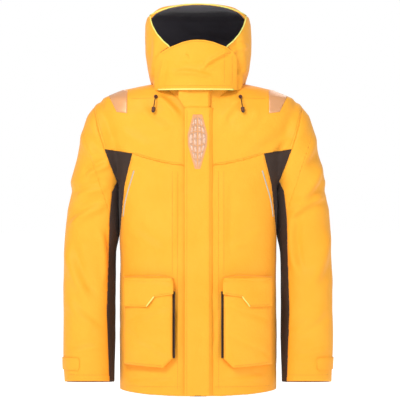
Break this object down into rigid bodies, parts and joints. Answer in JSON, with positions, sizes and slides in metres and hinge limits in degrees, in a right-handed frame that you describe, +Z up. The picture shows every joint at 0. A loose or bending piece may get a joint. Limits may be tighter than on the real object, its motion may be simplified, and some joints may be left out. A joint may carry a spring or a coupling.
{
  "type": "foul weather jacket",
  "caption": "Hooded foul weather sailing jacket with face guard, storm flap over a front zip, bellows pockets and cuff tabs.",
  "frame": {"origin": "middle of the neck opening at the height of the front neck seam, where the wearer's neck and shoulders hold the jacket", "axes": "+Z up along the wearer, front towards -Y, the wearer's left towards +X"},
  "size_m": [0.7226, 0.309, 1.0413],
  "materials": {
    "shell_fabric": "woven, waterproof, satin",
    "dark_fabric": "woven, matt",
    "lining": "brushed",
    "bright_piping": "fluorescent binding",
    "reflective_tape": "printed retroreflective",
    "zip": "moulded teeth on woven tape",
    "metal_trim": "coated",
    "hook_tape": "hook and loop",
    "cuff_lining": "knitted",
    "toggle_plastic": "moulded",
    "cord": "braided elastic"
  },
  "bodies": {
    "root": {"chest_yoke_left": "shell_fabric", "lower_front_left": "shell_fabric", "side_panel_left": "dark_fabric", "chest_yoke_right": "shell_fabric", "lower_front_right": "shell_fabric", "side_panel_right": "dark_fabric", "back_yoke": "shell_fabric", "back_panel": "shell_fabric", "body_lining": "lining", "hem_facing": "dark_fabric", "collar": "shell_fabric", "collar_lining": "lining", "hanging_loop": "dark_fabric", "zip_half_left": "zip", "zip_half_right": "zip", "storm_flap_seam": "shell_fabric", "zip_guard": "dark_fabric", "front_loops": "hook_tape", "collar_flap": "shell_fabric", "pocket_pouch_left": "shell_fabric", "pocket_gusset_left": "dark_fabric", "pocket_pouch_right": "shell_fabric", "pocket_gusset_right": "dark_fabric", "shoulder_reflector_left": "reflective_tape", "side_piping_left": "reflective_tape", "shoulder_reflector_right": "reflective_tape", "side_piping_right": "reflective_tape", "cord_eyelet_left": "metal_trim", "neck_cord_left": "cord", "cord_eyelet_right": "metal_trim", "neck_cord_right": "cord"},
    "hood": {"hood_shell": "shell_fabric", "hood_lining": "lining", "hood_piping": "bright_piping"},
    "face_guard": {"face_flap": "shell_fabric", "face_flap_piping": "bright_piping", "face_flap_hook_patch": "hook_tape"},
    "front_flap": {"storm_flap": "shell_fabric", "storm_flap_hooks": "hook_tape", "storm_flap_reflector": "reflective_tape"},
    "slider": {"zip_slider": "metal_trim"},
    "puller": {"zip_puller": "metal_trim"},
    "pocket_cover_left": {"pocket_flap_left": "shell_fabric", "pocket_flap_edge_left": "bright_piping"},
    "upper_arm_left": {"upper_sleeve_left": "shell_fabric", "upper_underarm_left": "dark_fabric"},
    "forearm_left": {"forearm_sleeve_left": "shell_fabric", "forearm_underarm_left": "dark_fabric", "inner_cuff_left": "cuff_lining"},
    "cuff_strap_left": {"cuff_tab_left": "shell_fabric"},
    "cord_stop_left": {"cord_lock_left": "toggle_plastic"},
    "pocket_cover_right": {"pocket_flap_right": "shell_fabric", "pocket_flap_edge_right": "bright_piping"},
    "upper_arm_right": {"upper_sleeve_right": "shell_fabric", "upper_underarm_right": "dark_fabric"},
    "forearm_right": {"forearm_sleeve_right": "shell_fabric", "forearm_underarm_right": "dark_fabric", "inner_cuff_right": "cuff_lining"},
    "cuff_strap_right": {"cuff_tab_right": "shell_fabric"},
    "cord_stop_right": {"cord_lock_right": "toggle_plastic"}
  },
  "joints": [
    {"name": "hood_fold", "type": "hinge", "parent": "root", "child": "hood", "pos_m": [0, 0.1056, 0.0155], "axis": [-1, 0, 0], "range_deg": [0, 90]},
    {"name": "face_flap_swing", "type": "hinge", "parent": "hood", "child": "face_guard", "pos_m": [-0.117, -0.0985, 0.09], "axis": [0, 0, -1], "range_deg": [0, 110]},
    {"name": "storm_flap_swing", "type": "hinge", "parent": "root", "child": "front_flap", "pos_m": [0.033, -0.14851, -0.37116], "axis": [0, 0.0712, 0.9975], "range_deg": [0, 100]},
    {"name": "main_zip_slide", "type": "slide", "parent": "root", "child": "slider", "axis": [0, -0.0712, -0.9975], "range_m": [0, 0.8]},
    {"name": "zip_puller_swing", "type": "hinge", "parent": "slider", "child": "puller", "pos_m": [0, -0.10701, 0.07421], "axis": [-1, 0, 0], "range_deg": [0, 15]},
    {"name": "pocket_flap_swing_left", "type": "hinge", "parent": "root", "child": "pocket_cover_left", "pos_m": [0.1275, -0.1592, -0.455], "axis": [-0.9393, -0.3432, 0], "range_deg": [0, 110]},
    {"name": "shoulder_swing_left", "type": "hinge", "parent": "root", "child": "upper_arm_left", "pos_m": [0.2795, 0, -0.007], "axis": [0, -1, 0], "range_deg": [0, 50]},
    {"name": "elbow_bend_left", "type": "hinge", "parent": "upper_arm_left", "child": "forearm_left", "pos_m": [0.289, -0.0605, -0.371], "axis": [-1, 0, 0], "range_deg": [0, 60]},
    {"name": "cuff_tab_swing_left", "type": "hinge", "parent": "forearm_left", "child": "cuff_strap_left", "pos_m": [0.3615, -0.024, -0.689], "axis": [0, 0, 1], "range_deg": [0, 100]},
    {"name": "cord_lock_slide_left", "type": "slide", "parent": "root", "child": "cord_stop_left", "axis": [-0.1472, 0.0982, 0.9842], "range_m": [0, 0.005]},
    {"name": "pocket_flap_swing_right", "type": "hinge", "parent": "root", "child": "pocket_cover_right", "pos_m": [-0.1275, -0.1592, -0.455], "axis": [-0.9393, 0.3432, 0], "range_deg": [0, 110]},
    {"name": "shoulder_swing_right", "type": "hinge", "parent": "root", "child": "upper_arm_right", "pos_m": [-0.2795, 0, -0.007], "axis": [0, 1, 0], "range_deg": [0, 50]},
    {"name": "elbow_bend_right", "type": "hinge", "parent": "upper_arm_right", "child": "forearm_right", "pos_m": [-0.289, -0.0605, -0.371], "axis": [-1, 0, 0], "range_deg": [0, 60]},
    {"name": "cuff_tab_swing_right", "type": "hinge", "parent": "forearm_right", "child": "cuff_strap_right", "pos_m": [-0.3615, -0.024, -0.689], "axis": [0, 0, -1], "range_deg": [0, 100]},
    {"name": "cord_lock_slide_right", "type": "slide", "parent": "root", "child": "cord_stop_right", "axis": [0.1472, 0.0982, 0.9842], "range_m": [0, 0.005]}
  ]
}
